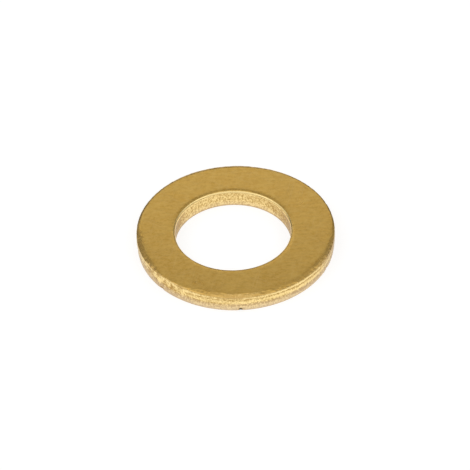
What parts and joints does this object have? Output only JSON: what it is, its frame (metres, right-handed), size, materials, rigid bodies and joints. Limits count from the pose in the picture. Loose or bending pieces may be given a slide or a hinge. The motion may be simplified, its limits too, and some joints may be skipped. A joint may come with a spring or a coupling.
{
  "type": "flat washer",
  "caption": "Plain round stamped brass washer with a rolled top edge and a punched clearance bore.",
  "frame": {"origin": "on the bore's axis, in the plane of the bottom face", "axes": "+Z along the bore, towards the face with the rolled edges; +X towards the wider side of the ring"},
  "size_m": [0.018, 0.018, 0.0017],
  "materials": {
    "brass": "satin rolled sheet, with a burnished and torn stamped rim"
  },
  "bodies": {
    "root": {"washer_ring": "brass"}
  },
  "joints": []
}
